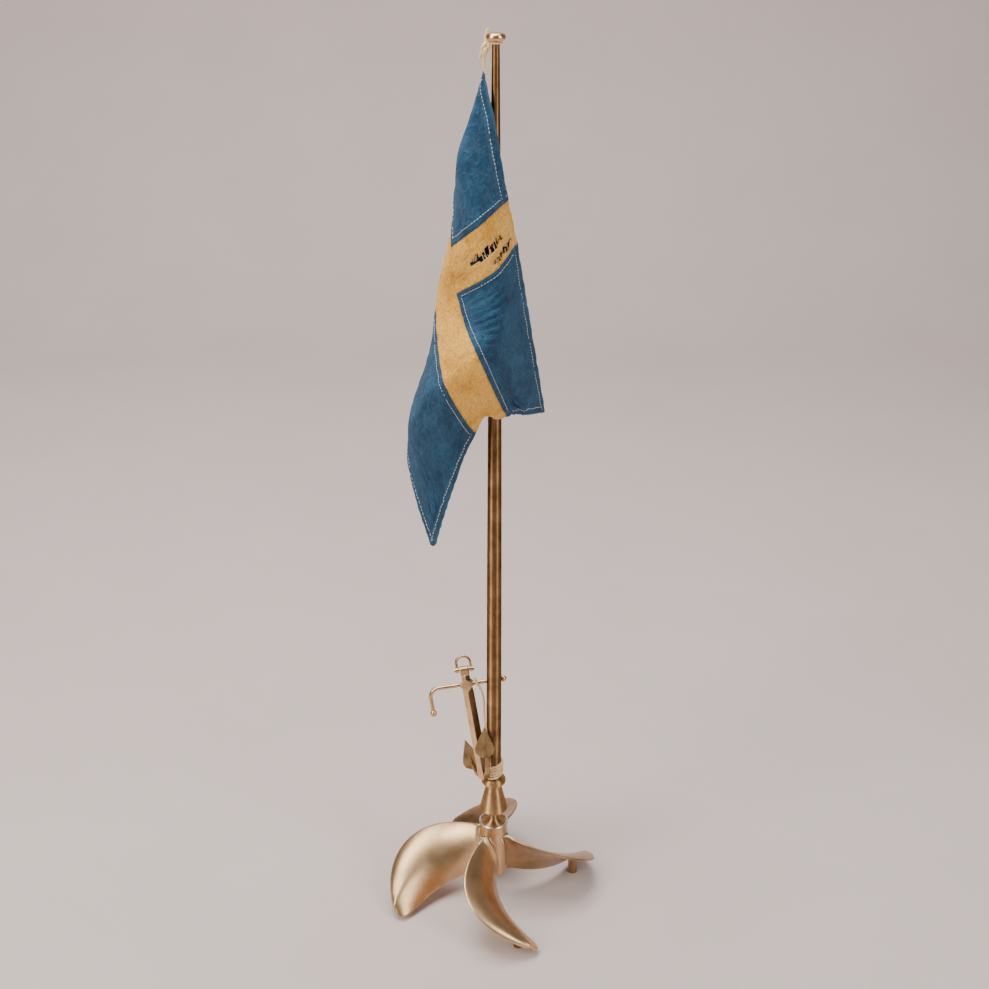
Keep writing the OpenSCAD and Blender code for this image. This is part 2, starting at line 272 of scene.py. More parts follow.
def brass(name, light, mid, dark, rough, grain=(1, 1, 1), tarnish=0.5, turned_marks=0.0, shaded_side=None):
    """Brass with cloudy tarnish, fine scratches along grain and small dark pits.

    turned_marks is for lathe work; the last argument is a direction, and faces that look that way get painted
    shade, a dark brown.
    """
    n = Nodes(name)
    cloud = n.noise(n.place(), 0.09, 6, 0.62)
    fine = n.noise(n.place(grain), 1.1, 5, 0.6)
    colour = n.ramp(cloud, [(0.3, dark), (0.5, mid), (0.72, light)])
    streak = n.ramp(fine, [(0.35, (0.62, 0.56, 0.5)), (0.6, (1, 1, 1))])
    colour = n.mix(tarnish, colour, streak, "MULTIPLY")
    pits = n.ramp(n.noise(n.place(), 0.9, 2, 0.4), [(0.66, (1, 1, 1)), (0.74, (0.45, 0.38, 0.33))])
    colour = n.mix(0.5 * tarnish, colour, pits, "MULTIPLY")
    # Painted shade: faces that look along the given direction are darkened towards dark brown, by up to 85 per
    # cent.
    if shaded_side:
        normal = n.add("ShaderNodeNewGeometry").outputs["Normal"]
        facing = n.add("ShaderNodeVectorMath", {0: normal, 1: shaded_side}, operation="DOT_PRODUCT").outputs["Value"]
        painted_shade = n.ramp(facing, [(0.25, (0, 0, 0)), (0.5, (0.85, 0.85, 0.85))])
        colour = n.mix(painted_shade, colour, (0.12, 0.09, 0.06))
    height = n.math("ADD", fine, n.math("MULTIPLY", cloud, 0.3))
    n.shade(Base_Color=colour, Metallic=1.0,
            Roughness=n.span(n.math("ADD", n.math("MULTIPLY", cloud, 0.6), n.math("MULTIPLY", fine, 0.4)),
                             rough - 0.14 * tarnish, rough + 0.3 * tarnish),
            Normal=n.bump(height, 0.4 * tarnish, 0.0001))
    if turned_marks:
        n.shade(Anisotropic=turned_marks, Anisotropic_Rotation=0.25, Specular_Tint=(0.5, 0.38, 0.28, 1),
                Tangent=n.add("ShaderNodeTangent", direction_type="RADIAL", axis="Z").outputs[0])
    return n.material


WEAVE_PITCH = 0.62


def cloth(name, light, mid, dark, worn):
    """Plain-woven cotton: crossing threads, slubs, faded folds and grime. UVs are the flat cloth in metres."""
    n = Nodes(name)
    flat = n.add("ShaderNodeUVMap", uv_map="flat").outputs[0]
    mm = n.add("ShaderNodeVectorMath", {0: flat, 1: (1000, 1000, 1000)}, operation="MULTIPLY").outputs[0]
    axes = n.add("ShaderNodeSeparateXYZ", {0: mm})
    warp = n.math("SINE", n.math("MULTIPLY", axes.outputs[0], 2 * math.pi / WEAVE_PITCH))
    weft = n.math("SINE", n.math("MULTIPLY", axes.outputs[1], 2 * math.pi / WEAVE_PITCH))
    weave = n.math("MULTIPLY", warp, weft)
    slubs = []
    for stretch in ((0.06, 1.7, 1), (1.7, 0.06, 1)):
        along = n.add("ShaderNodeVectorMath", {0: mm, 1: stretch}, operation="MULTIPLY").outputs[0]
        slubs.append(n.noise(along, 1, 2))
    slub = n.math("MULTIPLY", n.math("ADD", *slubs), 0.5)
    blotch = n.noise(mm, 0.055, 7, 0.66)
    speck = n.noise(mm, 0.5, 4, 0.6)
    colour = n.ramp(blotch, [(0.3, dark), (0.5, mid), (0.7, light)])
    grime = n.ramp(speck, [(0.34, (0.55, 0.55, 0.57)), (0.6, (1.15, 1.13, 1.08))])
    colour = n.mix(0.55, colour, grime, "MULTIPLY")
    colour = n.mix(0.6, colour, n.ramp(slub, [(0.36, (0.7, 0.7, 0.72)), (0.62, (1.15, 1.13, 1.1))]), "MULTIPLY")
    colour = n.mix(0.35, colour, n.ramp(n.span(weave, 0, 1), [(0, (0.75, 0.75, 0.77)), (1, (1.1, 1.1, 1.08))]),
                   "MULTIPLY")
    wear = n.add("ShaderNodeAttribute", attribute_name="wear").outputs["Fac"]
    colour = n.mix(n.math("MULTIPLY", wear, n.span(speck, 0.2, 1.0)), colour, worn)
    swirl = n.add("ShaderNodeTexNoise", {"Vector": mm, "Scale": 0.05}).outputs[1]
    warp_by = n.add("ShaderNodeVectorMath", {0: mm, 1: swirl}, operation="ADD").outputs[0]
    crease = n.math("ABSOLUTE", n.math("SUBTRACT", n.noise(warp_by, 0.085, 3, 0.55), 0.5))
    crease = n.ramp(crease, [(0.0, (1, 1, 1)), (0.07, (0, 0, 0))])
    colour = n.mix(n.math("MULTIPLY", crease, 0.06), colour, worn)
    height = n.math("ADD", n.math("MULTIPLY", weave, 0.25), n.math("MULTIPLY", slub, 1.2))
    height = n.math("ADD", height, n.math("MULTIPLY", n.math("ADD", crease, n.noise(mm, 0.11, 3)), 2.4))
    n.shade(Base_Color=colour, Roughness=0.92, Sheen_Weight=0.06, Sheen_Roughness=0.5,
            Normal=n.bump(height, 0.7, 0.0004))
    n.shader.inputs["Specular IOR Level"].default_value = 0.25
    return n.material


def fibre(name, light, dark):
    """Cotton thread or twine."""
    n = Nodes(name)
    tone = n.noise(n.place(), 0.6, 5, 0.6)
    strand = n.noise(n.place((1, 1, 0.3)), 5, 3, 0.6)
    colour = n.ramp(n.math("ADD", n.math("MULTIPLY", tone, 0.6), n.math("MULTIPLY", strand, 0.4)),
                    [(0.32, dark), (0.62, light)])
    n.shade(Base_Color=colour, Roughness=0.9, Sheen_Weight=0.1,
            Normal=n.bump(strand, 0.6, 0.0002))
    return n.material


def steel(name):
    """White metal and solder, dulled in clouds."""
    n = Nodes(name)
    cloud = n.noise(n.place(), 0.35, 5)
    n.shade(Base_Color=n.ramp(cloud, [(0.3, (0.55, 0.5, 0.45)), (0.65, (0.86, 0.83, 0.79))]), Metallic=1.0,
            Roughness=n.span(cloud, 0.16, 0.4), Normal=n.bump(n.noise(n.place(), 1.5), 0.15, 0.0002))
    return n.material


bronze = brass("cast_bronze", (0.78, 0.53, 0.31), (0.69, 0.46, 0.255), (0.58, 0.37, 0.195), 0.34, tarnish=0.14)
# A darker copy of cast_bronze for the right-hand and rear blades: painted shade.
shaded_bronze = brass("shaded_bronze", (0.55, 0.35, 0.19), (0.46, 0.285, 0.15), (0.34, 0.2, 0.1), 0.3, tarnish=0.2)
turned = brass("turned_brass", (0.84, 0.55, 0.28), (0.7, 0.43, 0.2), (0.5, 0.29, 0.12), 0.5, (0.1, 0.1, 2.2),
               tarnish=0.3, turned_marks=0.97)
aged = brass("aged_brass", (0.58, 0.34, 0.165), (0.38, 0.21, 0.095), (0.22, 0.115, 0.05), 0.5,
             (0.7, 0.7, 0.03), tarnish=0.4, turned_marks=0.98)
worn_brass = brass("worn_brass", (0.9, 0.61, 0.35), (0.74, 0.48, 0.25), (0.42, 0.25, 0.12), 0.24, (1, 1, 0.4),
                   tarnish=0.3)
# The shank's faces that look to the right (+x) get painted shade.
shank_brass = brass("shank_brass", (0.9, 0.62, 0.36), (0.8, 0.53, 0.28), (0.6, 0.37, 0.18), 0.3, (1, 1, 0.3),
                    tarnish=0.2, shaded_side=(0.9, 0.1, 0))
dull = brass("dull_brass", (0.56, 0.4, 0.22), (0.42, 0.28, 0.14), (0.24, 0.15, 0.075), 0.36, tarnish=0.45)
bare_steel = steel("white_metal")
solder = steel("solder")
blue_cotton = cloth("blue_cotton", (0.034, 0.125, 0.235), (0.021, 0.086, 0.175), (0.011, 0.05, 0.11),
                    (0.15, 0.27, 0.37))
ochre_cotton = cloth("yellow_cotton", (1, 0.6, 0.13), (1, 0.52, 0.09), (0.72, 0.33, 0.045), (1, 0.66, 0.22))
thread_white = fibre("white_thread", (0.95, 0.94, 0.9), (0.78, 0.77, 0.72))
twine_cotton = fibre("twine_cotton", (1, 0.76, 0.44), (0.92, 0.58, 0.27))

# ---------------------------------------------------------------- CAD nodes that show as they are

for material, slot_nodes in (
        (turned, ("coupling", "pole_collar")),
        (aged, ("flag_pole",)),
        (dull, ("foot_peg_1", "foot_peg_2", "foot_peg_3", "foot_peg_4")),
        (bronze, ("propeller_hub",)),
        (bare_steel, ("hub_washer", "tie_stud", "base_washer", "base_nut", "truck_screw")),
        (worn_brass, ("truck", "anchor_shackle", "shackle_pin", "anchor_stock", "stock_ball"))):
    for node in slot_nodes:
        kept = bpy.data.objects[node]
        if not kept.material_slots:
            kept.data.materials.append(material)
        for material_slot in kept.material_slots:
            material_slot.material = material

# ---------------------------------------------------------------- propeller blades

HUB_R = 10.75
ROOT_R = HUB_R - 0.6
TIP_R = 83
BLADE_AT = (-3.5, 90, 180, 270)
BLADE_ROWS = 80
BLADE_LOOP = 56
THICK_ROOT = 4
THICK_TIP = 1.8


def blade_point(n, u, v, w):
    """A point of blade n: u runs from root to tip, v from -0.5 to 0.5 across it, w the same through it."""
    chord = 36.5 + 24 * u + 13 * u * u
    taper = math.sqrt(max(0, 1 - u ** 6.6))
    pitch = math.radians(77 - 46 * (1 - (1 - u) ** 1.4))
    rake = 38.6 - 18 * u - 5.5 * u ** 4.5
    r = ROOT_R + (TIP_R - ROOT_R) * u
    thick = (THICK_ROOT + (THICK_TIP - THICK_ROOT) * u) * (1 - 2.2 * v * v) + 5 * max(0, 1 - u / 0.07) ** 2
    along_c = v * chord * taper + 0.19 * chord * (1 - taper)
    ridge = 1.3 * max(0, u - 0.45) * math.exp(-((v - 0.14) / 0.1) ** 2)
    across = 0.072 * chord * taper * (1 - 4 * v * v) + ridge + w * thick
    turn = along_c * math.cos(pitch) + across * math.sin(pitch)
    a = math.radians(-15 + 18.5 * u + 11.5 * u * u + BLADE_AT[n]) + turn / r
    return (r * math.sin(a), -r * math.cos(a), rake - along_c * math.sin(pitch) + across * math.cos(pitch))


def make_blade(n):
    """One cast blade, as loops round its section; the right-hand and rear ones get a darker copy of the bronze,
    painted shade.
    """
    points, faces = [], []
    for i in range(BLADE_ROWS + 1):
        u = 0.9985 * (1 - (1 - i / BLADE_ROWS) ** 1.6)
        for k in range(BLADE_LOOP):
            a = 2 * math.pi * k / BLADE_LOOP
            rim = min(1, abs(math.sin(a)) * 3)
            w = 0.5 * math.copysign(1 - (1 - rim) ** 2.5, math.sin(a))
            points.append(blade_point(n, u, 0.5 * math.cos(a), w))
    for i in range(BLADE_ROWS):
        for k in range(BLADE_LOOP):
            m = (k + 1) % BLADE_LOOP
            faces.append([i * BLADE_LOOP + k, i * BLADE_LOOP + m,
                          (i + 1) * BLADE_LOOP + m, (i + 1) * BLADE_LOOP + k])
    for i in (0, BLADE_ROWS):
        faces.append([i * BLADE_LOOP + k for k in range(BLADE_LOOP)])
    obj = mesh_object("blade_%d_cast" % (n + 1), points, faces)
    face_outwards(obj)
    return finish_piece(obj, "stand", shaded_bronze if n in (1, 2) else bronze,
                        ["blade_%d" % (n + 1)])


for n in range(len(BLADE_AT)):
    make_blade(n)


def make_solder(n):
    """A bead where the blade's raised edge meets the boss, and a short run on each face.

    It is bright solder on the front and right-hand blades, and plain bronze on the other two.
    """
    tubes = []
    for w in (-1, 1):
        run = [blade_point(n, 0.012, -0.47 + 0.05 * k, w * 0.75) for k in range(4)]
        path = resample(run, 0.8)
        lumps = [0.75 + 0.35 * noise.noise(Vector((k * 0.35, n * 7.0, w))) for k in range(len(path))]
        tubes.append((path, lumps))
    edge = [blade_point(n, 0.02 + 0.035 * k, -0.49, 0.2 * math.sin(k)) for k in range(4)]
    path = resample(edge, 0.7)
    tubes.append((path, [1.25 - 0.8 * k / len(path) for k in range(len(path))]))
    obj = join_tubes("solder_%d" % (n + 1), tubes, 10)
    return finish_piece(obj, "stand", solder if n in (0, 1) else bronze)


for n in range(len(BLADE_AT)):
    make_solder(n)

# ---------------------------------------------------------------- anchor

CROWN = (-7, -6, 108)
ANCHOR = Matrix.Translation(CROWN) @ Matrix.Rotation(math.radians(-10), 4, "Y") @ Matrix.Rotation(
    math.radians(-11), 4, "X")
SHANK_W = 6.2
STOCK_H = 76.5
PIN_H = 88
ARM_ENDS = ((6, -9, 32), (-8, 5.8, 18))
FLUKE_LEAN = (10, -8)


def cast(name, build, voxel, smooth):
    """One casting from the closed shapes that build() adds, with its joins melted together."""
    work = bmesh.new()
    build(work)
    bmesh.ops.scale(work, vec=(MM, MM, MM), verts=work.verts)
    mesh = bpy.data.meshes.new(name)
    work.to_mesh(mesh)
    work.free()
    obj = bpy.data.objects.new(name, mesh)
    bpy.context.collection.objects.link(obj)
    remesh = obj.modifiers.new("melt", "REMESH")
    remesh.mode = "VOXEL"
    remesh.voxel_size = voxel * MM
    soften = obj.modifiers.new("soften", "SMOOTH")
    soften.iterations = smooth
    soften.factor = 0.5
    depsgraph = bpy.context.evaluated_depsgraph_get()
    done = bpy.data.meshes.new_from_object(obj.evaluated_get(depsgraph))
    obj.modifiers.clear()
    obj.data = done
    done.polygons.foreach_set("use_smooth", [True] * len(done.polygons))
    obj.data.transform(Matrix.Scale(1 / MM, 4))
    obj.data.transform(ANCHOR)
    obj.data.transform(Matrix.Scale(MM, 4))
    return obj


def box(work, low, high):
    made = bmesh.ops.create_cube(work, size=1)["verts"]
    size = [h - l for l, h in zip(low, high)]
    centre = [(h + l) / 2 for l, h in zip(low, high)]
    bmesh.ops.scale(work, vec=size, verts=made)
    bmesh.ops.translate(work, vec=centre, verts=made)


def rod(work, a, b, ra, rb):
    """A straight rod from a to b, of radius ra at a and rb at b."""
    a, b = Vector(a), Vector(b)
    spin = Vector((0, 0, 1)).rotation_difference(b - a).to_matrix().to_4x4()
    bmesh.ops.create_cone(work, cap_ends=True, segments=32, radius1=ra, radius2=rb, depth=(b - a).length,
                          matrix=Matrix.Translation((a + b) / 2) @ spin)


def ball(work, at, r):
    bmesh.ops.create_uvsphere(work, u_segments=32, v_segments=20, radius=r, matrix=Matrix.Translation(at))


def prism(work, outline, half, matrix):
    """A flat outline in x and z, thick along y."""
    sides = []
    for y in (-half, half):
        sides.append([work.verts.new(matrix @ Vector((x, y, z))) for x, z in outline])
    count = len(outline)
    work.faces.new(sides[0])
    work.faces.new(list(reversed(sides[1])))
    for k in range(count):
        m = (k + 1) % count
        work.faces.new([sides[0][m], sides[0][k], sides[1][k], sides[1][m]])
    bmesh.ops.recalc_face_normals(work, faces=work.faces)


def build_shank(work):
    """A square shank set edge on, with the boss for the stock and the eye for the shackle's pin."""
    edge_on = Matrix.Rotation(math.radians(45), 4, "Z")
    low, mid, high = SHANK_W / 2, SHANK_W / 2 - 0.15, 2.4
    rings = ((0.8, low), (STOCK_H - 6, mid), (STOCK_H - 1, high), (PIN_H - 3.5, high - 0.1))
    loops = []
    for z, half in rings:
        loops.append([work.verts.new(edge_on @ Vector((x * half, y * half, z)))
                      for x, y in ((-1, -1), (1, -1), (1, 1), (-1, 1))])
    for a, b in zip(loops, loops[1:]):
        for k in range(4):
            work.faces.new([a[k], a[(k + 1) % 4], b[(k + 1) % 4], b[k]])
    work.faces.new(list(reversed(loops[0])))
    work.faces.new(loops[-1])
    prism(work, [(0, STOCK_H + 5.3), (4.7, STOCK_H + 0.6), (4.7, STOCK_H - 0.6), (0, STOCK_H - 5.3),
                 (-4.7, STOCK_H - 0.6), (-4.7, STOCK_H + 0.6)], 4.8, Matrix())
    box(work, (-3.2, -2.6, PIN_H - 4.2), (3.2, 2.6, PIN_H))
    rod(work, (-3.2, 0, PIN_H), (3.2, 0, PIN_H), 2.6, 2.6)


def drill(obj, centre, radius):
    """Cut a round hole along the anchor's own x."""
    spin = Matrix.Rotation(math.radians(90), 4, "Y")
    work = bmesh.new()
    bmesh.ops.create_cone(work, cap_ends=True, segments=48, radius1=radius, radius2=radius, depth=40,
                          matrix=ANCHOR @ Matrix.Translation(centre) @ spin)
    bmesh.ops.scale(work, vec=(MM, MM, MM), verts=work.verts)
    mesh = bpy.data.meshes.new("drill")
    work.to_mesh(mesh)
    work.free()
    tool = bpy.data.objects.new("drill", mesh)
    bpy.context.collection.objects.link(tool)
    cut = obj.modifiers.new("cut", "BOOLEAN")
    cut.operation = "DIFFERENCE"
    cut.solver = "EXACT"
    cut.object = tool
    depsgraph = bpy.context.evaluated_depsgraph_get()
    done = bpy.data.meshes.new_from_object(obj.evaluated_get(depsgraph))
    obj.modifiers.clear()
    obj.data = done
    bpy.data.objects.remove(tool)


shank = cast("anchor_shank_cast", build_shank, 0.34, 2)
STOCK_HOLE_R = 1.56
PIN_HOLE_R = 1.06
drill(shank, (0, 0, STOCK_H), STOCK_HOLE_R)
drill(shank, (0, 0, PIN_H), PIN_HOLE_R)
finish_piece(shank, "stand", shank_brass, ["anchor_shank"])


def build_arms(work):
    """Two arms that sweep up from the crown and taper to their palms."""
    for end in ARM_ENDS:
        bends = [Vector((0, 0, 1.5)), Vector((end[0] * 0.6, end[1] * 0.6, end[2] * 0.22)),
                 Vector((end[0] * 0.95, end[1] * 0.95, end[2] * 0.6)), Vector(end)]
        radii = (2.6, 1.9, 1.5, 0.9)
        for a, b, ra, rb in zip(bends, bends[1:], radii, radii[1:]):
            rod(work, a, b, ra, rb)
        for p, r in zip(bends, radii):
            ball(work, p, r)


arms = cast("anchor_arms_cast", build_arms, 0.3, 4)
finish_piece(arms, "stand", dull, ["anchor_arms"])


def make_fluke(k, name):
    """A leaf-shaped palm with a raised rib down its outer face."""
    outward = -1 if k == 0 else 1
    turn = Matrix.Translation(ARM_ENDS[k]) @ Matrix.Rotation(math.radians(FLUKE_LEAN[k]), 4, "Y")
    side = [(1.5, 9.6), (3.7, 4.8), (5.9, -0.4), (7.3, -5), (6.5, -8.4), (3.5, -10.8)]
    outline = [(0, 13.2)] + side + [(0, -12)] + [(-x, z) for x, z in reversed(side)]

    def build(work):
        prism(work, outline, 0.72, turn)
        for low, high, ra, rb in (((0, outward * 0.7, -11), (0, outward * 0.8, 4), 1.5, 1.1),
                                  ((0, outward * 0.8, 4), (0, outward * 0.5, 11.5), 1.1, 0.5)):
            rod(work, turn @ Vector(low), turn @ Vector(high), ra, rb)

    obj = cast(name, build, 0.3, 3)
    return finish_piece(obj, "stand", dull, [name.replace("_palm", "")])


make_fluke(0, "fluke_near_palm")
make_fluke(1, "fluke_far_palm")

# ---------------------------------------------------------------- twine on the anchor

TWINE_R = 0.9
TWINE_ROUTE = [
    (-14.6, 6.6, 189), (-13, 6, 185), (-10.5, 5.4, 181), (-8.5, 4, 176), (-7.6, 2.4, 170), (-7.4, 0.6, 164),
    (-7, -1.4, 158), (-6.2, -3.4, 152), (-5.4, -4.6, 145), (-5, -5, 137), (-5, -5, 128), (-5.4, -4.7, 119.5)]
LASH_TURNS = 4.6
LASH_TOP = 119.4
LASH_DROP = 10.6
LASH_TILT = 2.1
POLE_R = 5.5
TURN_POINTS = 24


def lashing_route():
    """Down the pole from the strand's end, then around it, each turn slanting up to the right."""
    start = math.atan2(-4.7, -5.4)
    route = []
    steps = int(LASH_TURNS * TURN_POINTS)
    for k in range(1, steps + 1):
        a = start + 2 * math.pi * k / TURN_POINTS
        z = LASH_TOP - LASH_DROP * min(1, k / (steps - 6))
        r = POLE_R + TWINE_R * 0.98 + (0.9 if k < 3 else 0)
        route.append((r * math.cos(a), r * math.sin(a), z + LASH_TILT * math.cos(a - 0.35)))
    return route


anchor_route = np.array(TWINE_ROUTE + lashing_route(), float)
cord_line = resample(anchor_route, 0.6)
anchor_cord = join_tubes("anchor_cord", twine_tubes(anchor_route, TWINE_R, hairs=0.6))
finish_piece(anchor_cord, "stand", twine_cotton, ["anchor_twine", "pole_lashing"])

# ---------------------------------------------------------------- flag

ROWS = (0, 40, 80, 110, 175, 240)
COLS = (0, 30, 60, 90, 135, 180)
# Where the flag hangs: one row of points for each of ROWS along its fly, one point for each of COLS.
FLAG_NET = np.array([
    [[-6, -3, 625], [-3.5, 8.5, 598], [0, 16, 572], [5, 18, 543], [12, 22, 500], [17, 22, 457]],
    [[1, -8, 587], [-22.5, -19, 580], [-23, 8, 562], [-12, 30, 541], [-10, 40, 500], [-4, 42, 457]],
    [[8, -10, 547], [-10, -34, 535], [-28, -18, 517], [-34, 9, 500], [-34, 36, 468], [-24, 46, 428]],
    [[14, -8, 518], [0, -30, 502], [-25, -14, 484], [-39, 4, 468], [-40, 34, 436], [-30, 44, 404]],
    [[24, -2, 459], [8, -30, 457], [-9, -48, 455], [-33, -38, 434], [-56, -14, 401], [-60, 14, 369]],
    [[34, 18, 394], [22, -2, 400], [8, -16, 404], [-14, -12, 388], [-30, -12, 345], [-43, -4, 297]]], float)
FLY = 240
HOIST = 180
S_IN, S_OUT, T_TOP, T_LOW = 80, 110, 60, 90
COARSE = 2.5
FINE = 1.25
REST_SHARE = 0.87
RELAX_STEPS = 120
SEEN_HOLD = 0.1
HIDDEN_HOLD = 0.04
RIM_HOLD = 0.35
PULL = 0.22
POLE_CLEAR = 7.6


def weights(places, knots):
    """Catmull-Rom weights of the net's lines for each place in flat millimetres."""
    last = len(knots) - 1
    out = np.zeros((len(places), len(knots)))
    for k, u in enumerate(np.interp(places, knots, range(len(knots)))):
        i = min(int(u), last - 1)
        t = u - i
        parts = (-t + 2 * t ** 2 - t ** 3, 2 - 5 * t ** 2 + 3 * t ** 3,
                 t + 4 * t ** 2 - 3 * t ** 3, t ** 3 - t ** 2)
        for shift, part in zip((-1, 0, 1, 2), parts):
            out[k, min(max(i + shift, 0), last)] += 0.5 * part
    return out


def sheet_normals(sheet):
    n = np.cross(np.gradient(sheet, axis=0), np.gradient(sheet, axis=1))
    return n / np.maximum(np.linalg.norm(n, axis=2), 1e-9)[..., None]


def swell(s, t):
    """Broad soft folds, -1 to 1."""
    return noise.noise(Vector((s * 0.026, t * 0.04, 17))) + 0.6 * noise.noise(Vector((s * 0.05, t * 0.075, 5)))


def relax_cloth(start, fly, hoist):
    """Pull the drawn sheet's threads towards their real length, held near the drawing and off the pole.

    The tied corner stays where it is drawn.
    """
    seed = np.array([[swell(s, t) for t in hoist] for s in fly])
    seen = np.array([[(s < S_IN and t < T_TOP) or s > S_OUT or t < T_LOW for t in hoist] for s in fly])
    hold = np.where(seen, SEEN_HOLD, HIDDEN_HOLD)[..., None]
    for rim in (hold[:3], hold[-3:], hold[:, :3], hold[:, -3:]):
        rim[:] = RIM_HOLD
    hold[:5, :5] = 1
    at = start + sheet_normals(start) * seed[..., None] * 1.2
    pairs = ((1, 0, 1.0), (0, 1, 1.0), (1, 1, 0.4), (1, -1, 0.4), (4, 0, 0.5), (0, 4, 0.5))
    for step in range(RELAX_STEPS):
        if step % 6 == 0:
            inner = at[1:-1, 1:-1]
            inner += 0.4 * ((at[:-2, 1:-1] + at[2:, 1:-1] + at[1:-1, :-2] + at[1:-1, 2:]) / 4 - inner)
        push = np.zeros_like(at)
        for di, dj, share in pairs:
            rest = COARSE * REST_SHARE * math.hypot(di, dj)
            near = at[:len(fly) - di, max(0, -dj):len(hoist) - max(0, dj)]
            far = at[di:, max(0, dj):len(hoist) + min(0, dj)]
            gap = far - near
            size = np.linalg.norm(gap, axis=2)[..., None]
            move = PULL * share * gap * (1 - rest / size)
            push[:len(fly) - di, max(0, -dj):len(hoist) - max(0, dj)] += move
            push[di:, max(0, dj):len(hoist) + min(0, dj)] -= move
        at = at + push * (1 - (hold == 1)) + (start - at) * hold
        reach = np.linalg.norm(at[..., :2], axis=2)[..., None]
        at[..., :2] *= np.maximum(1, POLE_CLEAR / np.maximum(reach, 0.1))
    return at


def refine(sheet):
    """Twice as many points each way, on Catmull-Rom curves."""
    def once(a):
        ends = np.concatenate([2 * a[:1] - a[1:2], a, 2 * a[-1:] - a[-2:-1]])
        mid = (-ends[:-3] + 9 * ends[1:-2] + 9 * ends[2:-1] - ends[3:]) / 16
        out = np.empty((2 * len(a) - 1,) + a.shape[1:])
        out[::2] = a
        out[1::2] = mid
        return out
    return once(once(sheet).transpose(1, 0, 2)).transpose(1, 0, 2)


fly_coarse = np.arange(0, FLY + 0.1, COARSE)
hoist_coarse = np.arange(0, HOIST + 0.1, COARSE)
drawn = np.einsum("ni,mj,ijk->nmk", weights(fly_coarse, ROWS), weights(hoist_coarse, COLS), FLAG_NET)
near_tie = np.exp(-((fly_coarse[:, None] - 13) ** 2 + (hoist_coarse - 15) ** 2) / 200)
drawn[..., 0] -= 5.5 * near_tie
fly_notch = np.exp(-((hoist_coarse - 80) / 7) ** 2 - ((FLY - fly_coarse[:, None]) / 14) ** 2)
drawn[..., 2] += 8 * fly_notch
relaxed = relax_cloth(drawn, fly_coarse, hoist_coarse)
sheet = refine(relaxed)
fly = np.arange(0, FLY + 0.1, FINE)
hoist = np.arange(0, HOIST + 0.1, FINE)


def crinkle(s, t):
    """Small crushed folds that the cloth keeps, in millimetres."""
    p = Vector((s * 0.06, t * 0.07, 3.1))
    ridge = 1 - abs(noise.noise(p)) * 2
    fine = noise.noise(Vector((s * 0.16, t * 0.16, 9)))
    edge = min(s, FLY - s, t, HOIST - t)
    pucker = math.exp(-edge / 5) * 0.06 * math.sin(2 * math.pi * (s + t) / 8.5 + 3 * fine)
    return 0.62 * max(0, ridge) ** 4 + 0.26 * fine + pucker


lift = np.array([[crinkle(s, t) for t in hoist] for s in fly])
sheet = sheet + sheet_normals(sheet) * lift[..., None]
normals = sheet_normals(sheet)
HEM = 8
SEAM = 5


def step_down(d, width):
    """1 inside width of an edge, 0 outside, with a soft step."""
    return min(1, max(0, (width + 0.7 - d) / 1.4))


def half_thickness(s, t, is_blue, seams):
    """Half the cloth's thickness, which is more over its turned hems and the cantons' seams."""
    edge = min(s, FLY - s, t, HOIST - t)
    h = 0.28 + 0.5 * step_down(edge, HEM)
    if is_blue:
        h += 0.3 * step_down(min(abs(s - c) if axis == 0 else abs(t - c) for axis, c in seams), SEAM)
    if edge < 0.1:
        h *= 0.7
    return h


# Each tear's place on the flat flag, half its width and half its length.
TEARS = ((96, 29, 2.8, 14), (104.5, 17, 2.4, 11))
THREADS_PER_TEAR = 24


def torn(s, t):
    for row, col, half, length in TEARS:
        reach = ((s - row - 0.8 * math.sin(t * 0.6)) / half) ** 2 + ((t - col) / length) ** 2
        if reach < 1 + 0.9 * noise.noise(Vector((s * 0.5, t * 0.5, row))):
            return True
    return False


def worn_off(s, t):
    """The lowest corner, which has frayed away to a blunt end."""
    return FLY - s + HOIST - t < 6.5 + 2.5 * noise.noise(Vector((s * 0.7, t * 0.7, 2)))


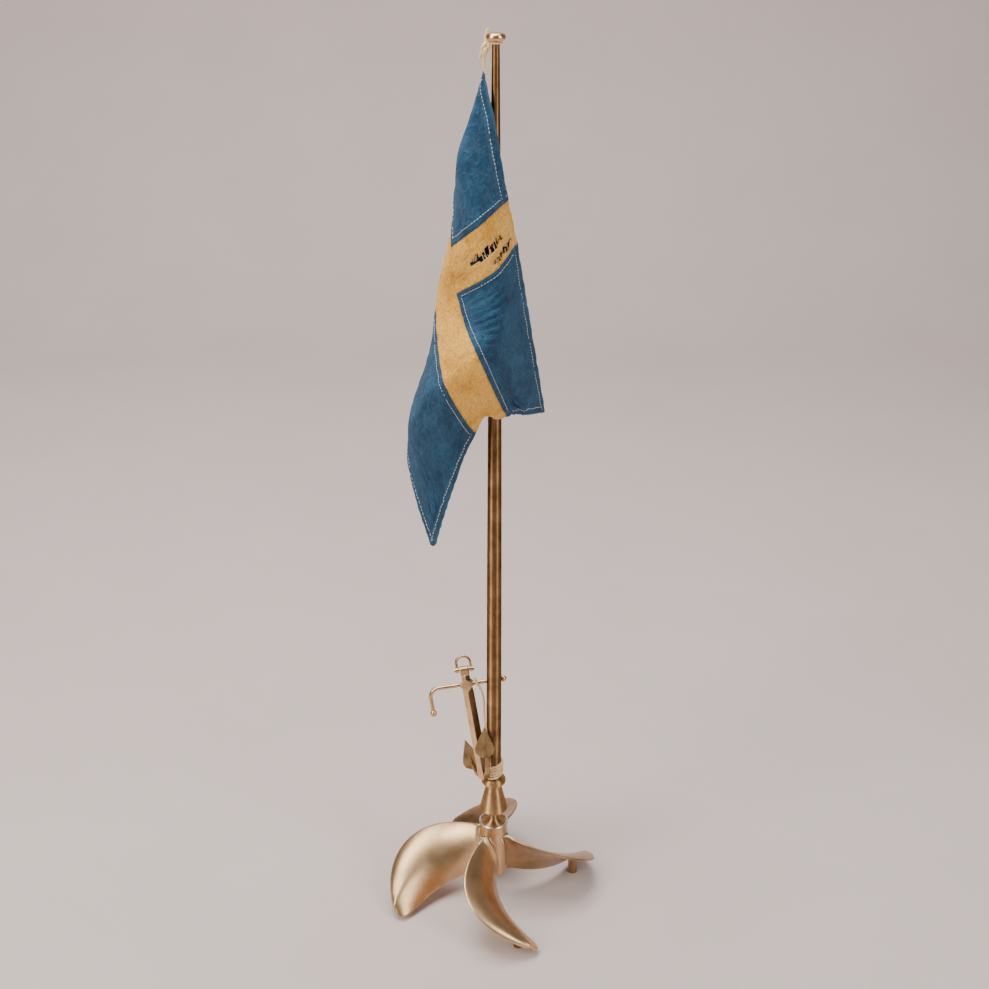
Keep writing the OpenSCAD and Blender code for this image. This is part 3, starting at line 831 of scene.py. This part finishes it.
def make_panel(node, s_range, t_range, is_blue, seams, material):
    """One sewn panel as a closed sheet, with the flat cloth's place as its UVs and its wear per point."""
    i0, i1 = (int(round(c / FINE)) for c in s_range)
    j0, j1 = (int(round(c / FINE)) for c in t_range)
    rows, cols = i1 - i0 + 1, j1 - j0 + 1
    front, back = [], []
    for i in range(i0, i1 + 1):
        for j in range(j0, j1 + 1):
            h = half_thickness(fly[i], hoist[j], is_blue, seams)
            front.append(sheet[i, j] + normals[i, j] * h)
            back.append(sheet[i, j] - normals[i, j] * h)
    count = rows * cols
    faces = []
    keep = {}
    for i in range(rows - 1):
        for j in range(cols - 1):
            cell = (s_range[0] + (i + 0.5) * FINE, t_range[0] + (j + 0.5) * FINE)
            keep[i, j] = not (worn_off(*cell) if is_blue else torn(*cell))
    for (i, j), kept in keep.items():
        if not kept:
            continue
        a, b, c, d = i * cols + j, i * cols + j + 1, (i + 1) * cols + j + 1, (i + 1) * cols + j
        faces.append([a, b, c, d])
        faces.append([count + a, count + d, count + c, count + b])
        for (di, dj), (p, q) in (((-1, 0), (b, a)), ((1, 0), (d, c)), ((0, -1), (a, d)), ((0, 1), (c, b))):
            if not keep.get((i + di, j + dj), False):
                faces.append([p, q, count + q, count + p])
    obj = mesh_object(node + "_cloth", front + back, faces)
    work = bmesh.new()
    work.from_mesh(obj.data)
    flat = work.loops.layers.uv.new("flat")
    wear = work.verts.layers.float.new("wear")
    work.verts.ensure_lookup_table()
    for v in work.verts:
        i, j = divmod(v.index % count, cols)
        s, t = s_range[0] + i * FINE, t_range[0] + j * FINE
        edge = min(s, FLY - s, t, HOIST - t)
        fold = max(0, lift[i0 + i, j0 + j] - 0.35) * 0.5
        tear = min(math.hypot((s - row) / half, (t - col) / length) for row, col, half, length in TEARS)
        v[wear] = min(0.8, 0.55 * math.exp(-edge / 0.9) + 0.25 * math.exp(-(abs(edge - HEM) / 0.8) ** 2) + fold
                      + (0.3 if tear < 1.8 and not is_blue else 0))
        for loop in v.link_loops:
            loop[flat].uv = (s * MM, t * MM)
    bmesh.ops.delete(work, geom=[v for v in work.verts if not v.link_faces], context="VERTS")
    bmesh.ops.recalc_face_normals(work, faces=work.faces)
    work.to_mesh(obj.data)
    work.free()
    finish_piece(obj, "flag", material, [node])
    return obj


PANELS = (
    ("canton_upper_hoist", (0, S_IN), (0, T_TOP), True, ((0, S_IN), (1, T_TOP))),
    ("canton_upper_fly", (S_OUT, FLY), (0, T_TOP), True, ((0, S_OUT), (1, T_TOP))),
    ("canton_lower_fly", (S_OUT, FLY), (T_LOW, HOIST), True, ((0, S_OUT), (1, T_LOW))),
    ("canton_lower_hoist", (0, S_IN), (T_LOW, HOIST), True, ((0, S_IN), (1, T_LOW))),
    ("cross_bar", (0, FLY), (T_TOP, T_LOW), False, ()),
    ("cross_arm_upper", (S_IN, S_OUT), (0, T_TOP), False, ()),
    ("cross_arm_lower", (S_IN, S_OUT), (T_LOW, HOIST), False, ()),
)
for name, s_range, t_range, is_blue, seams in PANELS:
    material, slot = (blue_cotton, "blue_cotton") if is_blue else (ochre_cotton, "yellow_cotton")
    make_panel(name, s_range, t_range, is_blue, seams, material)


def on_sheet(s, t, out=0.0):
    """The point of the finished cloth at flat (s, t), out millimetres off its front."""
    i, j = min(max(s, 0), FLY) / FINE, min(max(t, 0), HOIST) / FINE
    a, b = min(int(i), len(fly) - 2), min(int(j), len(hoist) - 2)
    x, y = i - a, j - b

    def blend(field):
        return ((field[a, b] * (1 - x) + field[a + 1, b] * x) * (1 - y)
                + (field[a, b + 1] * (1 - x) + field[a + 1, b + 1] * x) * y)
    return blend(sheet) + blend(normals) * out


def stitch_line(a, b, h, pitch=2.3, gap=0.28, skip=0.04):
    """Stitches from flat point a to b, on both faces of the cloth."""
    length = math.hypot(b[0] - a[0], b[1] - a[1])
    tubes = []
    for k in range(int(length / pitch)):
        if random.random() < skip:
            continue
        for face in (1, -1):
            shift = 0.5 if face < 0 else 0
            lows = (k + shift + gap / 2, k + shift + 1 - gap / 2)
            path = []
            for q, f in enumerate(np.linspace(lows[0], lows[1], 5)):
                f = min(1, f * pitch / length)
                wander = 0.12 * noise.noise(Vector((f * length * 0.3, a[0] * 0.1, face)))
                s = a[0] + (b[0] - a[0]) * f + wander
                t = a[1] + (b[1] - a[1]) * f + wander
                rise = h + (0.16 if 0 < q < 4 else -0.12)
                path.append(on_sheet(s, t, face * rise))
            tubes.append((np.array(path), [0.1, 0.15, 0.16, 0.15, 0.1]))
    return tubes


HEM_LINE = HEM - 1.2
SEAM_LINE = SEAM - 1.4
hem_stitches = []
for a, b in (((3, HEM_LINE), (FLY - 3, HEM_LINE)), ((FLY - HEM_LINE, 3), (FLY - HEM_LINE, HOIST - 3)),
             ((FLY - 3, HOIST - HEM_LINE), (3, HOIST - HEM_LINE)), ((HEM_LINE, HOIST - 3), (HEM_LINE, 3))):
    hem_stitches += stitch_line(a, b, 0.78)
seam_stitches = []
s_in, s_out, t_top, t_low = S_IN - SEAM_LINE, S_OUT + SEAM_LINE, T_TOP - SEAM_LINE, T_LOW + SEAM_LINE
for a, b in (((s_in, 7), (s_in, t_top)), ((7, t_top), (s_in, t_top)),
             ((s_out, 7), (s_out, t_top)), ((s_out, t_top), (FLY - 7, t_top)),
             ((s_out, t_low), (FLY - 7, t_low)), ((s_out, t_low), (s_out, HOIST - 7)),
             ((7, t_low), (s_in, t_low)), ((s_in, t_low), (s_in, HOIST - 7))):
    seam_stitches += stitch_line(a, b, 0.58)
finish_piece(join_tubes("stitches_hems", hem_stitches, 6), "flag", thread_white)
finish_piece(join_tubes("stitches_seams", seam_stitches, 6), "flag", thread_white)


def loose_thread(s, t, reach, count=7):
    """The route of a thread that has come loose at flat (s, t) and wanders down."""
    path = [on_sheet(s, t, 0.8)]
    heading = Vector((random.uniform(-1, 1), -0.6, random.uniform(-1, 0.3))).normalized()
    for _ in range(count):
        heading = (heading + Vector((random.uniform(-0.6, 0.6), -0.1, random.uniform(-0.7, 0.3)))).normalized()
        path.append(path[-1] + np.array(heading) * reach / count)
    return np.array(path)


def frayed_threads():
    """Weft threads left hanging in the tears: some bridge them, the rest stick out of one side."""
    tubes = []
    for row, col, half, length in TEARS:
        for _ in range(THREADS_PER_TEAR):
            t = col + random.uniform(-0.95, 0.95) * length
            side = random.choice((-1, 1))
            width = half * math.sqrt(max(0.05, 1 - ((t - col) / length) ** 2)) + 0.5
            if random.random() < 0.35:
                ends = (-width - 0.4, width + 0.4)
            else:
                ends = (side * (width + 0.5), side * random.uniform(-0.2, 0.6) * width)
            slant = random.uniform(-1.6, 1.6)
            path = [on_sheet(row + ends[0] + (ends[1] - ends[0]) * f, t + slant * f,
                             0.3 + 0.5 * math.sin(f * 3)) for f in np.linspace(0, 1, 6)]
            tubes.append((np.array(path), [0.2] * 5 + [0.12]))
    return tubes


finish_piece(join_tubes("frayed_threads", frayed_threads(), 5), "flag", twine_cotton)
loose = [(resample(loose_thread(s, t, reach), 0.5), 0.16) for s, t, reach in
         ((70, 0.5, 9), (72, 0.5, 6), (236, 0.5, 5), (238, 178, 7), (174, 0, 4), (120, 178, 6))]
finish_piece(join_tubes("loose_threads", loose, 5), "flag", thread_white)

# ---------------------------------------------------------------- head tie

TIE_Z = 640
TIE_R = 3.6
TIE_POINTS = 27
tie_route = []
for k in range(TIE_POINTS):
    a = math.radians(175) + 2 * math.pi * k / TURN_POINTS
    tie_route.append((TIE_R * math.cos(a), TIE_R * math.sin(a), TIE_Z + 0.3 - 0.6 * k / (TIE_POINTS - 1)))
tie_route += [(-5, -0.6, 638.6), (-6.4, -1.4, 636.4), (-7, -2.4, 633), (-6.6, -2.8, 629), (-6.2, -3, 625.4),
              (-6, -2.8, 621.8)]
tie_line = resample(tie_route, 0.5)
head_tie = join_tubes("head_tie", twine_tubes(tie_route, 0.55, 4.4, hairs=0.7))
finish_piece(head_tie, "flag", twine_cotton, ["head_tie_loop", "head_tie_knot"])


def knot_tubes():
    """A small bow: three loops and three ends, one of which stands up past the truck."""
    tubes = []
    loops = ((-6.2, -1.6, 637.4, 2.1, 0.4), (-6.8, -2, 635.2, 2, 1.5), (-5.6, -1.2, 638.8, 1.5, 2.6))
    for x, y, z, r, lean in loops:
        ring = []
        for k in range(15):
            a = 2 * math.pi * k / 12
            p = Vector((r * math.cos(a), 0.5 * math.sin(2 * a), r * math.sin(a)))
            p.rotate(Matrix.Rotation(lean, 3, "Z"))
            ring.append((x + p.x, y + p.y, z + p.z))
        tubes += twine_tubes(ring, 1.05, 3.6, hairs=1.2)
    ends = (((-6.6, -2.2, 636), (-8.4, -2.6, 635), (-9.4, -2.4, 632.8), (-10, -2.2, 631)),
            ((-5.4, 0.6, 639), (-6.2, 3.6, 641.6), (-5.6, 5.4, 645.4), (-4.6, 5.6, 648)),
            ((-6.6, -2.4, 635), (-7.6, -2.8, 631), (-7.2, -2.9, 627), (-6.4, -2.8, 622)))
    for end in ends:
        tubes += twine_tubes(end, 0.9, 3.6, hairs=1.4)
    return tubes


knot = join_tubes("head_tie_bow", knot_tubes())
finish_piece(knot, "flag", twine_cotton)

# ---------------------------------------------------------------- floor and light


PAPER_HALF_WIDTH = 3500


def make_stage():
    """A sheet of grey paper that lies flat and curves up behind the stand."""
    n = Nodes("paper")
    tone = n.noise(n.place((0.004, 0.004, 0.004)), 1.5, 4)
    n.shade(Base_Color=n.ramp(tone, [(0.3, (0.61, 0.525, 0.51)), (0.7, (0.64, 0.55, 0.535))]), Roughness=0.75,
            Normal=n.bump(n.noise(n.place(), 0.5, 3), 0.06, 0.0004))
    profile = [(-1600, 0), (1300, 0)]
    for k in range(1, 13):
        a = math.radians(90 * k / 12)
        profile.append((1300 + 500 * math.sin(a), 500 - 500 * math.cos(a)))
    profile.append((1800, 3200))
    points, faces = [], []
    for y, z in profile:
        points += [(-PAPER_HALF_WIDTH, y, z), (PAPER_HALF_WIDTH, y, z)]
    for k in range(len(profile) - 1):
        faces.append([2 * k, 2 * k + 1, 2 * k + 3, 2 * k + 2])
    obj = mesh_object("paper_sweep", points, faces)
    obj.data.materials.append(n.material)


def softbox(name, place, aim, size, power, colour):
    """A rectangular area light at place that faces aim."""
    data = bpy.data.lights.new(name, "AREA")
    data.shape = "RECTANGLE"
    data.size, data.size_y = size
    data.energy = power
    data.color = colour
    obj = bpy.data.objects.new(name, data)
    obj.location = place
    obj.rotation_euler = (Vector(aim) - Vector(place)).to_track_quat("-Z", "Y").to_euler()
    bpy.context.collection.objects.link(obj)


make_stage()
WARM = (1, 0.95, 0.88)
PALE = (1, 0.97, 0.94)
softbox("key", (-1.35, -0.95, 1.35), (0, 0, 0.25), (0.6, 1.5), 31, WARM)
softbox("fill", (1.3, -1.0, 1.2), (0, 0, 0.25), (0.45, 1.5), 17, PALE)
softbox("top", (-0.3, 0.25, 2.1), (-0.1, 0.1, 0), (1.5, 1.2), 49, PALE)
world = bpy.data.worlds.new("room")
bpy.context.scene.world = world
world.use_nodes = True
background = world.node_tree.nodes["Background"]
background.inputs["Color"].default_value = (1, 0.96, 0.92, 1)
background.inputs["Strength"].default_value = 0.14
